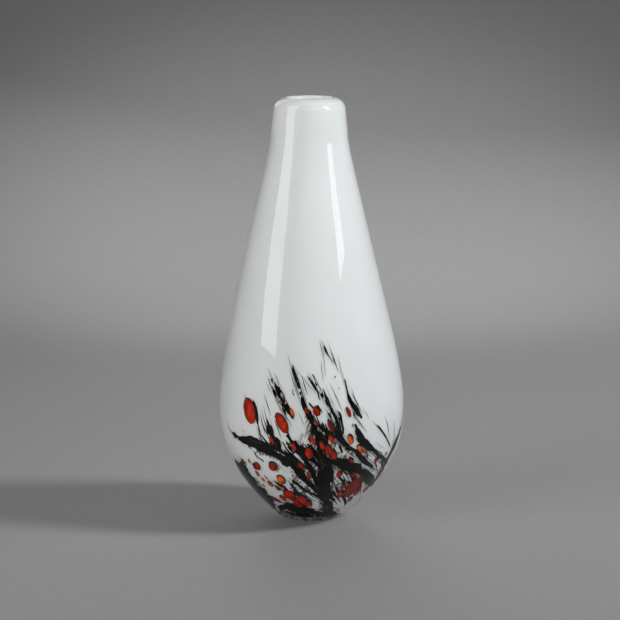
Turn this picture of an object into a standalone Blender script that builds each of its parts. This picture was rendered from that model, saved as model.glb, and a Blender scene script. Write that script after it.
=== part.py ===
"""Hand blown vase of cased glass, about 310 mm tall.

From the inside out it is a white opal bubble, pieces of black, red and orange glass that lie on the
opal's outside, and a clear casing gathered over them, which ends below in a thick clear heel.
Metres, +Z up, the front is -Y, and the origin lies under the middle of the foot.
"""

import math

import bmesh
import bpy
from mathutils import Vector

# Driving dimensions, in metres
HEIGHT = 0.310
HOLLOW_RADIUS = 0.0170  # the ground pontil hollow under the foot
HOLLOW_DEPTH = 0.0016
FOOT_RADIUS = 0.0235  # outer edge of the flat ring that the vase stands on
FOOT_EDGE = ((0.0254, 0.0005), (0.0268, 0.0014))  # rounded edge of the foot, (radius, height)
# Outside of the vase above the foot's edge, (height, radius)
OUTLINE = (
    (0.002, 0.0276),
    (0.010, 0.0353),
    (0.020, 0.0443),
    (0.038, 0.0570),
    (0.058, 0.0654),
    (0.082, 0.0684),
    (0.110, 0.0657),
    (0.155, 0.0570),
    (0.217, 0.0429),
    (0.258, 0.0330),
    (0.278, 0.0287),
    (0.292, 0.0273),
    (0.3025, 0.0261),
)
# How far the axis strays to the side as the glass was blown, (height, sideways shift)
SWAY = ((0.0, 0.0), (0.062, 0.0), (0.124, -0.0008), (0.186, -0.0022), (0.248, -0.0023), (0.310, -0.0018))

CASING_WALL = 0.0018
HEEL_EXTRA = 0.0024  # added to the casing's wall at the foot
HEEL_TOP = 0.028  # height where the heel has thinned to the plain wall
COLOUR_SPACE = 0.0018  # between casing and opal, where the coloured pieces lie
COLOUR_TOP = 0.146  # the coloured pieces stay below this height
COLOUR_FADE = 0.022  # height over which the space closes above them
GAP = 0.00035  # between neighbouring layers of glass
OPAL_WALL = 0.0024
OPAL_FLOOR_EXTRA = 0.0026
FLOOR_START = 0.004  # the inner layers turn in to their floors from this height of the outline
FLOOR_DROP = 0.0007  # how much lower a floor is in the middle than at its edge
CHIP_THICKNESS = 0.0007
CHIP_DEPTH = 0.00093  # from the casing's inside to the middle of a coloured piece

AROUND = 40  # facets round the body
LAYER_HEIGHTS = (
    0.004, 0.009, 0.016, 0.025, 0.036, 0.048, 0.062, 0.078, 0.096, 0.118, 0.146, 0.168, 0.200, 0.235, 0.262, 0.284,
)
# The lip turns in over a leaning quarter of an ellipse, which stops short of its top
LIP_REACH = 0.0101  # half width of the ellipse
LIP_RISE = 0.0079  # half height of the ellipse
LIP_LEAN = 0.11  # how far in it leans for each metre up
LIP_END = math.radians(70)  # how far round the ellipse the lip goes
LIP_STEPS = 5
RIM_HEIGHT = HEIGHT - 0.007456  # where the walls end and the lips begin

# Black glass: name, then (degrees round from the front, height in mm, width in mm) along each streak
BLACK_STREAKS = {
    "black_trunk": ((9, 53, 5.0), (9.5, 38, 6.4), (12.5, 22, 6.6), (21, 9, 5.0)),
    "black_branch_left": (
        (-61, 68, 1.2), (-47, 66, 5.6), (-33, 66, 5.2), (-20, 58, 5.8), (-8, 46, 4.0), (0, 31, 2.0),
    ),
    "black_spur_left": ((-28, 84, 1.6), (-26, 78, 3.6), (-24, 71.5, 2.4)),
    "black_band_left": (
        (-55, 46.5, 4.6), (-58.5, 36, 12.6), (-60.5, 25, 14.6), (-59, 15, 10.4), (-59, 8.5, 4.6),
    ),
    "black_edge_left": ((-84, 52, 1.6), (-81, 40, 3.0), (-76, 28, 3.4), (-73, 16, 2.2)),
    "black_branch_right": ((15, 54, 3.4), (26, 48, 5.6), (39, 42, 5.8), (52, 33.5, 4.4), (59.5, 29.5, 1.8)),
    "black_diagonal_right": ((15, 79, 1.6), (20, 69, 2.6), (28, 61, 3.2), (38, 51.5, 3.0), (48, 43.5, 1.6)),
    "black_diagonal_far": (
        (28, 79, 1.6), (32, 69.5, 3.6), (42, 60, 4.4), (52, 52.5, 3.6), (59.5, 47.5, 1.6),
    ),
    "black_edge_right": (
        (85, 90, 1.2), (78, 69, 2.8), (71, 57, 4.6), (67, 45, 5.0), (65.5, 35, 4.6), (65.5, 27, 2.0),
    ),
    "black_thread_far": ((43, 80, 0.9), (52, 69, 1.5), (62, 57, 1.1)),
    "black_thread_high": ((22, 113, 0.9), (24, 101, 2.2), (29, 91, 2.4), (33, 84, 1.0)),
    "black_streak_long": (
        (-13, 125, 0.9), (-8, 110, 1.8), (-5, 98, 3.0), (-1, 86, 4.6), (3, 75, 4.2), (5, 71, 2.4),
    ),
    "black_streak_feather": ((-26, 113, 0.9), (-21, 104, 3.2), (-16.5, 96, 2.6)),
    "black_streak_forked": ((-5, 121, 1.0), (0, 113, 2.4), (4.5, 105, 1.2)),
    "black_streak_middle": ((7.5, 107, 0.8), (11, 96, 1.8), (14.5, 88, 2.6), (17, 81.5, 1.4)),
    "black_mark_high": ((9, 140, 0.8), (10.6, 135, 1.9), (12.2, 130, 0.9)),
    "black_mark_low": ((14, 133, 0.7), (16.8, 124, 1.2)),
    "black_thread_left": ((-35.5, 103, 0.8), (-33.5, 92, 1.3), (-32.6, 78, 1.0)),
    "black_slash": ((5.8, 84.5, 1.1), (9.2, 77, 1.6), (13, 72, 1.0)),
    "black_bundle_left": ((-9, 69, 1.4), (-4.6, 57, 2.6), (0, 45.5, 2.2), (3, 36, 1.0)),
    "black_root": ((-32, 12, 1.6), (-20, 13, 3.0), (-4, 9.5, 3.4), (9, 7, 2.2)),
    "black_back_trunk": ((172, 60, 3.4), (169, 44, 6.0), (171, 28, 6.4), (180, 13, 4.6), (190, 7.5, 2.4)),
    "black_back_left": ((206, 98, 1.2), (213, 84, 3.6), (223, 70, 5.4), (237, 58, 4.8), (252, 50, 2.2)),
    "black_back_right": ((152, 112, 1.0), (156, 96, 3.0), (161, 80, 4.6), (166, 66, 2.6)),
    "black_back_low": ((224, 40, 2.0), (236, 33, 5.6), (246, 22, 5.0), (250, 11, 2.4)),
    "black_side_right": ((100, 82, 1.2), (106, 67, 4.2), (116, 53, 5.6), (130, 42, 4.8), (145, 34, 2.0)),
    "black_side_low": ((98, 40, 2.2), (104, 27, 5.2), (114, 16, 4.6), (126, 10, 2.2)),
    "black_back_streak": ((182, 128, 0.9), (187, 113, 2.6), (192, 98, 3.8), (197, 84, 1.8)),
    "black_side_streak": ((124, 116, 0.9), (128, 102, 2.4), (133, 88, 2.8), (139, 75, 1.2)),
}

# Red and orange glass: name, then degrees round, height, width and length in mm, and lean in degrees
RED_CHIPS = {
    "red_petal_left": (-42, 89, 10.6, 17.6, 16),
    "red_petal_pair": (-18, 83, 6.2, 14.4, 30),
    "red_petal_centre": (2.8, 92.5, 4.6, 7.0, 20),
    "red_petal_slash": (11.4, 84.5, 2.4, 5.6, 26),
    "red_petal_fork": (20.4, 86.5, 2.6, 8.0, 18),
    "red_drop_bundle": (-2.6, 66.2, 3.2, 7.0, 12),
    "red_drop_inner": (10.2, 63.4, 4.2, 8.6, 16),
    "red_berry_left": (-27, 49.2, 7.8, 7.2, 40),
    "red_berry_outer": (-40.5, 47.5, 5.6, 6.2, 0),
    "red_leaf_low": (-38, 18.5, 3.4, 9.4, 68),
    "red_cluster_left": (-20.8, 26, 7.0, 7.2, 0),
    "red_cluster_right": (-10.2, 22, 6.6, 8.6, 0),
    "red_ellipse_right": (35.5, 29.2, 11.4, 15.4, -14),
    "red_dot_right": (55, 22.5, 5.4, 5.6, 0),
    "red_drop_trunk": (24.8, 25.5, 3.8, 7.4, 12),
    "red_edge_left": (-84, 62.5, 4.0, 9.6, 14),
    "red_back_petal": (181, 89, 7.6, 15.0, 14),
    "red_back_berry": (205, 50, 8.0, 8.4, 30),
    "red_back_ellipse": (152, 56, 6.8, 12.6, 24),
    "red_back_cluster": (212, 25, 7.4, 8.4, 10),
    "red_side_petal": (112, 94, 5.8, 12.0, 20),
    "red_side_berry": (88, 27, 6.2, 7.2, 15),
}
ORANGE_CHIPS = {
    "orange_petal_right": (24.2, 72.5, 3.8, 6.6, 14),
    "orange_berry_low": (-23.5, 38.2, 6.4, 6.8, 20),
    "orange_dot_left": (-34.5, 33, 3.8, 4.6, 20),
    "orange_back_berry": (192, 37, 6.0, 6.8, 0),
    "orange_side_petal": (268, 78, 5.4, 10.6, 18),
}
STREAK_STEPS = 2  # sections between two listed points of a streak
CHIP_CORNERS = 12


def smooth_value(stations, x):
    """The value at x of a smooth curve through (x, value) stations, with straight ends."""
    last = len(stations) - 1
    i = 0
    while i < last - 1 and x > stations[i + 1][0]:
        i += 1
    (x0, y0), (x1, y1) = stations[i], stations[i + 1]
    before = stations[max(i - 1, 0)]
    after = stations[min(i + 2, last)]
    slope0 = (y1 - before[1]) / (x1 - before[0])
    slope1 = (after[1] - y0) / (after[0] - x0)
    t = (x - x0) / (x1 - x0)
    span = x1 - x0
    rise = (2 * t**3 - 3 * t**2 + 1) * y0 + (3 * t**2 - 2 * t**3) * y1
    return rise + span * ((t**3 - 2 * t**2 + t) * slope0 + (t**3 - t**2) * slope1)


def outline_normal(height):
    """Unit normal of the outline at a height, as (radial, vertical), pointing out of the glass."""
    step = 0.0005
    slope = (smooth_value(OUTLINE, height + step) - smooth_value(OUTLINE, height - step)) / (2 * step)
    length = math.hypot(1, slope)
    return 1 / length, -slope / length


def casing_wall(height):
    """Thickness of the clear casing where the outline has this height."""
    return CASING_WALL + HEEL_EXTRA * max(0.0, 1 - height / HEEL_TOP) ** 2


def colour_space(height):
    """Space between the casing and the opal, which closes above the coloured pieces."""
    share = min(max((height - COLOUR_TOP) / COLOUR_FADE, 0.0), 1.0)
    return COLOUR_SPACE + (GAP - COLOUR_SPACE) * share


def below_outline(height, depth):
    """(radius, height) of the point that lies this deep under the outline."""
    radial, vertical = outline_normal(height)
    return smooth_value(OUTLINE, height) - depth * radial, height - depth * vertical


def glass_point(degrees, height, depth):
    """The point this many degrees round from the front, this deep under the outline."""
    radius, level = below_outline(height, depth)
    angle = math.radians(degrees)
    return Vector((radius * math.sin(angle) + smooth_value(SWAY, level), -radius * math.cos(angle), level))


def lip_point(turn, depth):
    """(radius, height) of the point of the turned-in lip this far round it and this deep under its outside."""
    radius = smooth_value(OUTLINE, RIM_HEIGHT) - LIP_REACH * (1 - math.cos(turn))
    rise = LIP_RISE * math.sin(turn)
    along = Vector((-LIP_REACH * math.sin(turn) - LIP_LEAN * LIP_RISE * math.cos(turn), LIP_RISE * math.cos(turn)))
    along.normalize()
    return radius - LIP_LEAN * rise - depth * along.y, RIM_HEIGHT + rise + depth * along.x


def layer_side(depth_at):
    """One side of a layer from the middle of its floor to the lip's end: below the outline by depth_at(height)."""
    wall = [below_outline(h, depth_at(h)) for h in LAYER_HEIGHTS]
    rim_depth = depth_at(RIM_HEIGHT)
    wall += [lip_point(LIP_END * k / LIP_STEPS, rim_depth) for k in range(LIP_STEPS + 1)]
    edge_radius, edge_height = wall[0]
    floor = edge_height - FLOOR_DROP
    return [(0.0, floor), (edge_radius * 0.6, floor + FLOOR_DROP * 0.1)] + wall


def opal_outer_depth(height):
    return casing_wall(height) + colour_space(height)


def opal_inner_depth(height):
    thicker = OPAL_FLOOR_EXTRA * max(0.0, 1 - height / HEEL_TOP)
    return opal_outer_depth(height) + OPAL_WALL + thicker


def rounded_end(outer_depth, inner_depth):
    """The round end of a layer at the mouth, between two depths under the lip's outside."""
    outer = Vector(lip_point(LIP_END, outer_depth))
    inner = Vector(lip_point(LIP_END, inner_depth))
    middle = (outer + inner) / 2
    reach = outer - middle
    beyond = Vector((-reach.y, reach.x))
    angles = (math.radians(a) for a in (15, 60, 105, 145))
    return [tuple(middle + reach * math.cos(a) + beyond * math.sin(a)) for a in angles]


def casing_profile():
    hollow = [(0.0, HOLLOW_DEPTH), (HOLLOW_RADIUS * 0.62, HOLLOW_DEPTH * 0.62), (HOLLOW_RADIUS, 0.0)]
    foot = [(FOOT_RADIUS, 0.0)] + list(FOOT_EDGE)
    outside = layer_side(lambda height: 0.0)[2:]
    inside = layer_side(casing_wall)
    return hollow + foot + outside + rounded_end(0.0, CASING_WALL) + inside[::-1]


def opal_profile():
    outside = layer_side(opal_outer_depth)
    inside = layer_side(opal_inner_depth)
    return outside + rounded_end(opal_outer_depth(HEIGHT), opal_inner_depth(HEIGHT)) + inside[::-1]


def glass_material(name, colour, transmission=0.0):
    material = bpy.data.materials.new(name)
    material.use_nodes = True
    shader = material.node_tree.nodes["Principled BSDF"]
    shader.inputs["Base Color"].default_value = (*colour, 1.0)
    shader.inputs["Roughness"].default_value = 0.04
    shader.inputs["Metallic"].default_value = 0.0
    shader.inputs["IOR"].default_value = 1.5
    shader.inputs["Transmission Weight"].default_value = transmission
    material.diffuse_color = (*colour, 1.0 - 0.65 * transmission)
    return material


def add_object(name, mesh_builder, material):
    """Turns a bmesh into a named, smooth shaded object."""
    bmesh.ops.recalc_face_normals(mesh_builder, faces=mesh_builder.faces)
    mesh = bpy.data.meshes.new(name)
    mesh_builder.to_mesh(mesh)
    mesh_builder.free()
    mesh.materials.append(material)
    mesh.shade_smooth()
    mesh.set_sharp_from_angle(angle=math.radians(40))
    item = bpy.data.objects.new(name, mesh)
    bpy.context.scene.collection.objects.link(item)
    return item


def turned_layer(name, profile, material):
    """Spins a profile that starts and ends on the axis, then lets it sway as the axis does."""
    bm = bmesh.new()
    points = [bm.verts.new((radius, 0.0, height)) for radius, height in profile]
    edges = [bm.edges.new(pair) for pair in zip(points, points[1:])]
    bmesh.ops.spin(
        bm, geom=points + edges, cent=(0, 0, 0), axis=(0, 0, 1), angle=2 * math.pi, steps=AROUND, use_merge=True
    )
    bmesh.ops.remove_doubles(bm, verts=bm.verts, dist=1e-6)
    for vertex in bm.verts:
        vertex.co.x += smooth_value(SWAY, vertex.co.z)
    return add_object(name, bm, material)


def chip_depth(height, lift):
    """Depth of a point of a coloured piece, lifted towards the outside by lift."""
    return casing_wall(height) + CHIP_DEPTH - lift


def path_points(route):
    """Points on a smooth line through a streak's listed points, each with its width."""
    columns = [[(i, point[k]) for i, point in enumerate(route)] for k in range(3)]
    count = STREAK_STEPS * (len(route) - 1)
    places = [i / STREAK_STEPS for i in range(count + 1)]
    return [tuple(smooth_value(column, place) for column in columns) for place in places]


def streak(name, route, material):
    """A ribbon of glass with a lens section and pointed ends, laid along a route on the opal."""
    points = path_points(route)
    bm = bmesh.new()
    rings = []
    for i, (degrees, height, width) in enumerate(points):
        before = points[max(i - 1, 0)]
        after = points[min(i + 1, len(points) - 1)]
        radius = smooth_value(OUTLINE, height / 1000)
        mm_per_degree = radius * 1000 * math.pi / 180
        along = Vector(((after[0] - before[0]) * mm_per_degree, after[1] - before[1])).normalized()
        side_degrees = -along.y * width / 2 / mm_per_degree
        side_height = along.x * width / 2
        ring = []
        for side, lift in ((-1, 0.0), (0, 1.0), (1, 0.0), (0, -1.0)):
            level = (height + side * side_height) / 1000
            depth = chip_depth(level, lift * CHIP_THICKNESS / 2)
            ring.append(bm.verts.new(glass_point(degrees + side * side_degrees, level, depth)))
        rings.append(ring)
    for ring, following in zip(rings, rings[1:]):
        for k in range(4):
            bm.faces.new((ring[k], ring[(k + 1) % 4], following[(k + 1) % 4], following[k]))
    for ring, point, beyond in ((rings[0], points[0], points[1]), (rings[-1], points[-1], points[-2])):
        reach = 0.25
        degrees = point[0] + (point[0] - beyond[0]) * reach
        level = (point[1] + (point[1] - beyond[1]) * reach) / 1000
        tip = bm.verts.new(glass_point(degrees, level, chip_depth(level, 0.0)))
        for k in range(4):
            bm.faces.new((ring[k], ring[(k + 1) % 4], tip))
    return add_object(name, bm, material)


def chip(name, shape, material):
    """A leaning oval pad of glass with a rounded edge."""
    degrees, height, width, length, lean = shape
    mm_per_degree = smooth_value(OUTLINE, height / 1000) * 1000 * math.pi / 180
    turn = math.radians(lean)
    bm = bmesh.new()
    rings = []
    for share, lift in ((0.72, 0.5), (1.0, 0.0), (0.72, -0.5)):
        ring = []
        for k in range(CHIP_CORNERS):
            angle = 2 * math.pi * k / CHIP_CORNERS
            across = share * width / 2 * math.cos(angle)
            up = share * length / 2 * math.sin(angle)
            shift = across * math.cos(turn) - up * math.sin(turn)
            level = (height + up * math.cos(turn) + across * math.sin(turn)) / 1000
            depth = chip_depth(level, lift * CHIP_THICKNESS)
            ring.append(bm.verts.new(glass_point(degrees + shift / mm_per_degree, level, depth)))
        rings.append(ring)
    for ring, following in zip(rings, rings[1:]):
        for k in range(CHIP_CORNERS):
            step = (k + 1) % CHIP_CORNERS
            bm.faces.new((ring[k], ring[step], following[step], following[k]))
    bm.faces.new(rings[0])
    bm.faces.new(rings[-1])
    return add_object(name, bm, material)


def clear_scene():
    for item in list(bpy.data.objects):
        bpy.data.objects.remove(item)


def main():
    clear_scene()
    opal = glass_material("opal_glass", (0.80, 0.82, 0.81))
    clear = glass_material("clear_glass", (0.93, 0.97, 0.95), transmission=1.0)
    black = glass_material("black_glass", (0.010, 0.010, 0.011))
    red = glass_material("red_glass", (0.55, 0.020, 0.012))
    orange = glass_material("orange_glass", (0.80, 0.16, 0.035))
    turned_layer("opal_body", opal_profile(), opal)
    turned_layer("clear_casing", casing_profile(), clear)
    for name, route in BLACK_STREAKS.items():
        streak(name, route, black)
    for name, shape in RED_CHIPS.items():
        chip(name, shape, red)
    for name, shape in ORANGE_CHIPS.items():
        chip(name, shape, orange)


main()
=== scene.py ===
"""Looks of the hand blown vase: cased opal glass with black, red and orange glass under the casing."""

import math
import random

import bmesh
import bpy
import numpy as np
from mathutils import Matrix, Vector


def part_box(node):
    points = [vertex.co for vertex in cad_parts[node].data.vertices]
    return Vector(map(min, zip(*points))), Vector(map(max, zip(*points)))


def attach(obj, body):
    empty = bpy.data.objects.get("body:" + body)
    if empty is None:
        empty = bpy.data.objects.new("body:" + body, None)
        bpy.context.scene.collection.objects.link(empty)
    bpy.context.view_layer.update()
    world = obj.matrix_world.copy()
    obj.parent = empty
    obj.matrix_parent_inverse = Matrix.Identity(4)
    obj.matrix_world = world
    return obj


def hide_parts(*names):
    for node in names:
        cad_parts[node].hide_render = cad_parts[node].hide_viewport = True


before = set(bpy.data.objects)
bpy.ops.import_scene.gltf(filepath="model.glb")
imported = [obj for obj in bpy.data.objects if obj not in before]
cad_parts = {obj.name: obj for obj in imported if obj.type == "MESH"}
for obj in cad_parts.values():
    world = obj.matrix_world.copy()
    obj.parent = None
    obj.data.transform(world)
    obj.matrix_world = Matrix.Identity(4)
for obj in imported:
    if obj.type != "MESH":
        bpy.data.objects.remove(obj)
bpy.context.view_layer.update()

# ------ shape of the vase, in metres
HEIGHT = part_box("clear_casing")[1].z
HOLLOW_RADIUS = 0.0170
HOLLOW_DEPTH = 0.0016
FOOT_RADIUS = 0.0235
FOOT_EDGE = ((0.0246, 0.0002), (0.0254, 0.0006), (0.0262, 0.0011), (0.0269, 0.0016))
# (height, radius) of the outside, from just above the foot to where the lip turns in
OUTLINE = (
    (0.002, 0.0276), (0.010, 0.0353), (0.020, 0.0443), (0.038, 0.0570), (0.058, 0.0654),
    (0.082, 0.0684), (0.110, 0.0657), (0.155, 0.0570), (0.217, 0.0429), (0.258, 0.0330),
    (0.278, 0.0287), (0.292, 0.0273), (0.3025, 0.0261),
)
# (height, how far the axis has moved to the right)
SWAY = ((0, 0), (0.062, 0), (0.124, -0.0008), (0.186, -0.0022), (0.248, -0.0023), (0.310, -0.0018))
CASING_WALL = 0.0018
HEEL_EXTRA = 0.0024
HEEL_TOP = 0.028
OPAL_WALL = 0.0024
OPAL_FLOOR_EXTRA = 0.0026
FLOOR_START = 0.004
FLOOR_DROP = 0.0007  # how much lower the middle of the inside floor lies than its edge
FLOOR_BELOW_WALL = 0.0016  # how far the floor lies under the foot of the wall
LIP_REACH = 0.0101
LIP_RISE = 0.0079
LIP_LEAN = 0.11
LIP_END = math.radians(70)
RIM_HEIGHT = HEIGHT - 0.00751
LIP_CLEAR = 0.0007  # thickness of the clear glass round the lip
LAP_START, LAP_END = math.radians(16), math.radians(36)  # where the clear glass thins out on the lip
AROUND = 256

# ------ black glass under the casing
# node without black_: (raggedness, (degrees round from the front, height in mm, width in mm), ...)
BLACK_STREAKS = {
    "trunk": (0.9, (11, 55, 6.4), (9.5, 40, 8.2), (12, 24, 8.6), (20, 10, 8.4), (27, 4.6, 6.4)),
    "branch_left": (
        1.5, (-62, 69, 1.4), (-49, 66.5, 4.8), (-35, 65, 7.2), (-20, 57, 7.6), (-8, 44, 6),
        (1, 30, 2.8),
    ),
    "spur_left": (1, (-29, 87, 1.6), (-26.5, 78, 4.2), (-23, 68, 6), (-19, 61, 4)),
    "band_left": (1.9, (-54, 48, 7), (-62, 37, 23), (-63, 26, 28), (-61, 14, 27), (-58, 4.5, 23)),
    "edge_left": (2, (-88, 56, 1.4), (-83, 42, 4), (-78, 28, 4.6), (-74, 14, 3)),
    "branch_right": (1.2, (9, 57, 5.6), (22, 51, 7), (38, 42.5, 6.6), (53, 33, 5.8), (69, 26, 2.8)),
    "diagonal_right": (
        1.3, (12, 82, 1.6), (19, 70, 3.4), (28, 61, 4), (38, 51.5, 3.6), (50, 42.5, 1.8),
    ),
    "diagonal_far": (1.3, (27, 81, 1.6), (32, 69.5, 4), (42, 60, 4.8), (53, 52, 4.2), (66, 43, 2.2)),
    "edge_right": (
        1.1, (85, 91, 1), (76, 69, 3.6), (68, 57, 7), (63.5, 46, 8.4), (62, 35, 7.6), (62, 26, 3.6),
    ),
    "thread_far": (0.7, (43, 80, 0.7), (52, 69, 1.4), (62, 57, 1.2)),
    "thread_high": (0.9, (22, 114, 0.7), (24, 101, 2.2), (29, 91, 3), (34, 82, 1)),
    "streak_long": (
        1.3, (-13, 126, 0.7), (-8, 111, 1.7), (-5, 98, 3), (-1, 86, 4.6), (3, 75, 5.2), (6, 62, 5),
        (8, 54, 5.4),
    ),
    "streak_feather": (2.3, (-26, 114, 1), (-21, 104, 3.4), (-16.5, 95, 3.2), (-12, 87, 1.4)),
    "streak_forked": (1, (-5, 121, 0.5), (0, 113.5, 1.5), (4.5, 105, 0.7)),
    "streak_middle": (1.4, (7.5, 108, 0.7), (11, 96, 2.2), (14.5, 87, 3.6), (18, 76, 2.2)),
    "mark_high": (0.4, (8.6, 141, 0.4), (10.4, 135, 1.5), (12.6, 129.5, 0.6)),
    "mark_low": (0.6, (14, 133, 0.5), (16.8, 124, 0.9)),
    "thread_left": (0.8, (-40, 100, 0.9), (-37, 92, 2), (-34.8, 80, 2.2), (-32.5, 68, 1.5)),
    "slash": (1, (0, 89, 1.1), (7, 79, 2.2), (14, 73.5, 3), (17, 71, 1.8)),
    "bundle_left": (1.5, (-10, 71, 1.8), (-4.6, 57, 4), (0, 45.5, 4), (5, 31, 2)),
    "root": (1.3, (-50, 7, 3.4), (-27, 12.5, 6.4), (-4, 9.5, 7.6), (18, 6, 6.4), (40, 4.6, 3)),
    "back_trunk": (0.9, (172, 61, 6.4), (169, 44, 9), (171, 28, 9.4), (180, 13, 8), (192, 5, 5.4)),
    "back_left": (1.2, (204, 99, 1.2), (213, 84, 5), (223, 70, 8.4), (237, 58, 7.6), (254, 49, 3)),
    "back_right": (1.2, (152, 113, 0.9), (156, 96, 3.8), (161, 80, 6.6), (167, 61, 6)),
    "back_low": (1, (222, 41, 3), (236, 33, 8), (246, 22, 7.6), (252, 8, 5)),
    "side_right": (1.2, (99, 83, 1.2), (106, 67, 6), (116, 53, 8), (130, 42, 7.4), (147, 33, 3)),
    "side_low": (1, (97, 41, 3), (104, 27, 7.4), (114, 16, 7), (128, 7, 4.6)),
    "back_streak": (1.4, (181, 129, 0.7), (187, 113, 3.2), (192, 98, 5), (197, 83, 2.4)),
    "side_streak": (1.3, (123, 117, 0.7), (128, 102, 3), (133, 88, 4.2), (140, 74, 1.8)),
}

# ------ red and orange glass
# node without its colour: (degrees round, height in mm, width in mm, length in mm, lean in degrees)
RED_CHIPS = {
    "petal_left": (-41.5, 89, 11.2, 18.6, 18),
    "petal_pair": (-18.5, 83, 7.6, 16, 30),
    "petal_centre": (2.8, 92.5, 4.8, 7.2, 20),
    "petal_slash": (11.4, 81.5, 3.6, 10.6, 24),
    "petal_fork": (23, 91, 3.2, 8.8, 20),
    "drop_bundle": (-2, 61.5, 5.6, 9, 12),
    "drop_inner": (10.2, 63.4, 4.6, 9.4, 16),
    "berry_left": (-27, 49, 8.2, 7.2, 40),
    "berry_outer": (-40.5, 47, 5.6, 6.2, 0),
    "leaf_low": (-38, 18.5, 3.6, 9.6, 68),
    "cluster_left": (-20.5, 25, 9, 8.6, 0),
    "cluster_right": (-10.5, 20.5, 8.6, 9.4, 0),
    "ellipse_right": (35.2, 30, 13, 17.4, -14),
    "dot_right": (55, 25, 5.8, 6, 0),
    "drop_trunk": (24.8, 25.5, 4.4, 8.2, 12),
    "edge_left": (-84, 62.5, 4, 10, 14),
    "back_petal": (181, 89, 8, 15.6, 14),
    "back_berry": (205, 50, 8.2, 8.6, 30),
    "back_ellipse": (152, 56, 7.2, 13.4, 24),
    "back_cluster": (212, 25, 7.6, 8.6, 10),
    "side_petal": (112, 94, 6, 12.4, 20),
    "side_berry": (88, 27, 6.4, 7.4, 15),
}
ORANGE_CHIPS = {
    "petal_right": (24.2, 70.5, 4.2, 8.2, 18),
    "berry_low": (-23.5, 38.2, 6.8, 7.4, 20),
    "dot_left": (-34.5, 33, 4, 4.8, 20),
    "back_berry": (192, 37, 6.2, 7, 0),
    "side_petal": (268, 78, 5.4, 10.8, 18),
}

# small drops scattered between the larger ones, with the same five numbers
SMALL_RED = (
    (-43, 46, 4.2, 5, 10), (12, 72, 3.6, 7.4, 26), (26, 54, 3.4, 5.4, 40), (19, 43.5, 4.4, 5, 0),
    (-7.5, 51.5, 3.6, 6.4, 30), (-2.5, 43, 2.8, 5.4, 10), (6, 67.5, 3.4, 7, 20), (13.5, 60, 4, 9.4, 18),
    (40, 18.5, 3.4, 4.4, 0), (-13.5, 15, 4.4, 3.4, 20), (10.5, 11.5, 3.6, 3, 0),
    (-25.5, 69.5, 3, 6.4, 24), (60, 40, 3, 4.6, 20), (-3, 93, 2.4, 5.4, 24),
    (-15.5, 17.5, 5.4, 5.6, 20), (-3.5, 17, 4.8, 5.2, 0), (43, 24, 4.6, 5.6, 20), (25, 32, 3.6, 4.4, 0),
    (31, 41.5, 3.8, 5, 30), (0.5, 71, 3, 7, 24), (-11.5, 66, 3.2, 6.6, 20), (48, 50, 3.6, 4.6, 30),
    (66, 33, 4.6, 6, 0), (-28, 21, 4.6, 5.4, 30), (3, 84, 2, 5, 20), (170, 74, 3.4, 6.6, 20),
    (190, 62, 4.4, 6.8, 10), (162, 40, 4.6, 5.8, 0), (228, 44, 4.4, 5.2, 15), (138, 60, 3.4, 7, 20),
    (120, 33, 5.2, 6, 0), (240, 70, 3.4, 5.6, 30), (198, 18, 5, 4.2, 0), (146, 24, 5.4, 6.2, 10),
    (176, 102, 2.6, 6, 18), (262, 40, 3.8, 5, 0), (104, 50, 3.6, 5.4, 20),
)
SMALL_ORANGE = (
    (-43.5, 40, 3.4, 4, 0), (-40, 36, 2.8, 3.4, 20), (-36, 38.5, 1.6, 4, 30), (-43, 30.5, 2.4, 2.8, 0),
    (-29, 30, 3.4, 4, 30), (31, 63, 3.6, 6, 40), (58, 53.5, 3, 3.4, 0), (-12, 91.5, 2.6, 7.4, 24),
    (-47, 50, 3, 3.6, 0), (-24, 31, 2.2, 2.6, 0), (35, 60, 3, 4.6, 50), (200, 34, 3.6, 4.4, 0),
    (184, 46, 2.8, 3.6, 20), (208, 38, 2.4, 3.2, 0), (158, 70, 2.8, 6.2, 20), (130, 52, 3.2, 4.4, 30),
    (222, 33, 3, 3.6, 0), (246, 50, 2.8, 3.4, 0), (112, 40, 2.8, 3.6, 10),
)


# ====== curves on the vase
def smooth_value(stations, x):
    """The value at x of a smooth curve through (x, value) stations; x may be a number or an array."""
    places, values = np.array(stations, float).T
    x = np.asarray(x, float)
    i = np.clip(np.searchsorted(places, x, side="right") - 1, 0, len(places) - 2)
    before = np.maximum(i - 1, 0)
    after = np.minimum(i + 2, len(places) - 1)
    span = places[i + 1] - places[i]
    t = (x - places[i]) / span
    slope0 = (values[i + 1] - values[before]) / (places[i + 1] - places[before])
    slope1 = (values[after] - values[i]) / (places[after] - places[i])
    rise = (2 * t**3 - 3 * t**2 + 1) * values[i] + (3 * t**2 - 2 * t**3) * values[i + 1]
    return rise + span * ((t**3 - 2 * t**2 + t) * slope0 + (t**3 - t**2) * slope1)


def below_outline(height, depth):
    """(radius, level) of the points that lie this deep under the outline, for arrays of heights."""
    step = 0.0005
    height = np.asarray(height, float)
    slope = (smooth_value(OUTLINE, height + step) - smooth_value(OUTLINE, height - step)) / (2 * step)
    length = np.hypot(1, slope)
    return smooth_value(OUTLINE, height) - depth / length, height + depth * slope / length


def glass_points(degrees, height_mm, depth):
    """Points this many degrees round from the front, this deep under the outline, as an array."""
    radius, level = below_outline(np.asarray(height_mm, float) / 1000, depth)
    angle = np.radians(degrees)
    across = radius * np.sin(angle) + smooth_value(SWAY, level)
    return np.stack([across, -radius * np.cos(angle), level], axis=-1)


def casing_wall(height):
    return CASING_WALL + HEEL_EXTRA * np.maximum(0.0, 1 - height / HEEL_TOP) ** 2


def mm_per_degree(height_mm):
    return float(smooth_value(OUTLINE, height_mm / 1000)) * 1000 * math.pi / 180


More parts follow.
